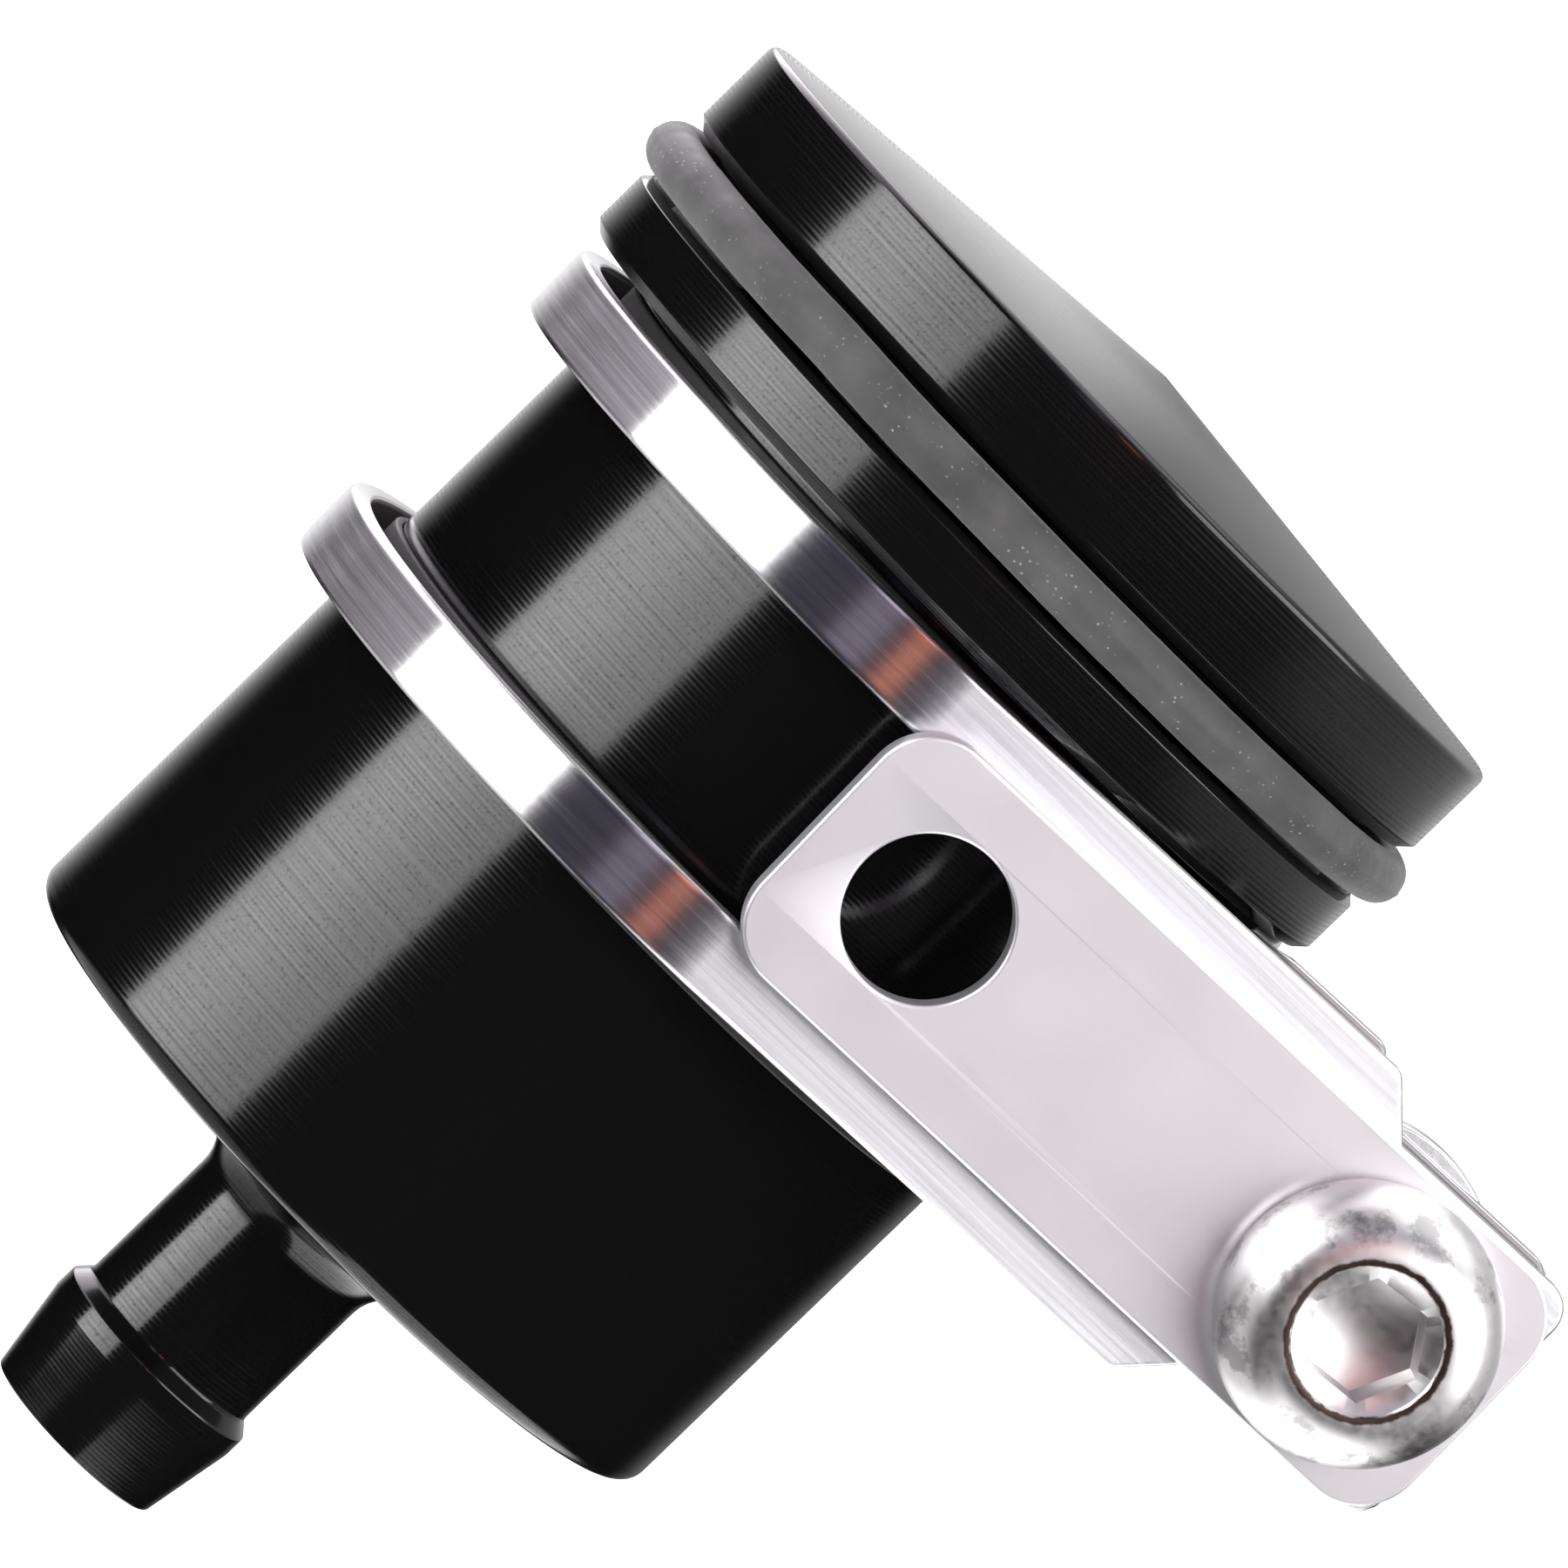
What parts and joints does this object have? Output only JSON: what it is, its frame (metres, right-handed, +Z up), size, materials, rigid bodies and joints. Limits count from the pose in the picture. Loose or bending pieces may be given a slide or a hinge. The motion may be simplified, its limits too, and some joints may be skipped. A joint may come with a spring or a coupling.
{
  "type": "hydraulic reservoir",
  "caption": "Small black fluid cup with a screw cap, sealing ring and hose spigot, held in a slotted steel strip clamp on a flat mounting arm.",
  "frame": {"origin": "centre of the arm's mounting hole, on the arm's back face", "axes": "+Z up along the cup's axis, towards the cap; the arm's front looks along -Y; +X from the mounting hole towards the clamp screw"},
  "size_m": [0.0517, 0.0429, 0.0567],
  "materials": {
    "arm_steel": "fine satin stainless, edges broken",
    "clamp_steel": "polished stainless strip",
    "screw_steel": "bright stainless",
    "nut_steel": "plain stainless",
    "nylon": "dyed nylon",
    "liner_rubber": "matt black rubber",
    "black_anodised": "turned and black anodised, semi-gloss",
    "seal_silicone": "translucent grey silicone",
    "diaphragm_rubber": "moulded black rubber",
    "slip_ring_plastic": "natural acetal"
  },
  "bodies": {
    "arm": {"mounting_arm": "arm_steel"},
    "clamp": {"clamp_strip": "clamp_steel", "clamp_screw": "screw_steel", "rear_washer": "nut_steel", "lock_nut": "nut_steel", "nut_insert": "nylon"},
    "cup": {"cup_body": "black_anodised", "upper_liner": "liner_rubber", "lower_liner": "liner_rubber", "diaphragm": "diaphragm_rubber", "slip_ring": "slip_ring_plastic"},
    "cap_seal": {"cap_o_ring": "seal_silicone"},
    "cap": {"cap": "black_anodised"}
  },
  "joints": [
    {"name": "arm_swing", "type": "hinge", "parent": "arm", "child": "clamp", "pos_m": [0.02129, 0, 0.00074], "axis": [0, 1, 0], "range_deg": [0, 270]},
    {"name": "cup_turn", "type": "hinge", "parent": "clamp", "child": "cup", "pos_m": [-0.00434, 0.0184, 0], "axis": [0, 0, 1], "continuous": true},
    {"name": "cap_lift", "type": "slide", "parent": "cup", "child": "cap_seal", "axis": [0, 0, 1], "range_m": [0, 0.0046]},
    {"name": "cap_turn", "type": "hinge", "parent": "cap_seal", "child": "cap", "pos_m": [-0.00434, 0.0184, 0], "axis": [0, 0, 1], "range_deg": [0, 1080]}
  ],
  "couplings": [
    {"joint": "cap_lift", "follows": "cap_turn", "m_per_rad": 0.00023873}
  ]
}
